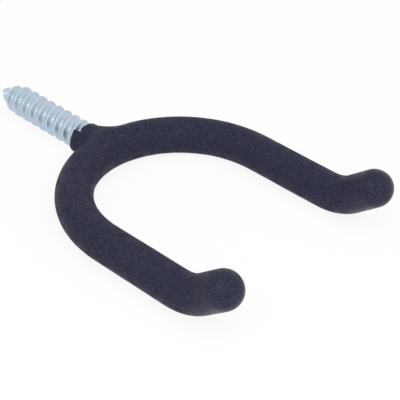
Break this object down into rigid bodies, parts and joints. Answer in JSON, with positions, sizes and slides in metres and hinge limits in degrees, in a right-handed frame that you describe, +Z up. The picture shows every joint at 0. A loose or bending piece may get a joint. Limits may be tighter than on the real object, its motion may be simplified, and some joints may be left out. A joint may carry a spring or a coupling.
{
  "type": "garage utility hook",
  "caption": "Forked hook of vinyl-dipped steel rod with rounded, upturned tips and a pointed lag screw at the back of its bend, for hanging tools and gear on a wall.",
  "frame": {"origin": "on the screw's axis, in the plane of the skin's lip, where the hook meets the wall", "axes": "+Y along the screw into the wall, prongs along -Y, +Z up, the way the tips turn, X across the fork"},
  "size_m": [0.0514, 0.0868, 0.0135],
  "materials": {
    "rod_steel": "bare drawn rod, hidden under the skin",
    "zinc_plated_steel": "satin, bluish zinc plate",
    "charcoal_vinyl": "matte, finely grained"
  },
  "bodies": {
    "root": {"fork_rod": "rod_steel", "lag_screw": "zinc_plated_steel", "vinyl_skin": "charcoal_vinyl"}
  },
  "joints": []
}
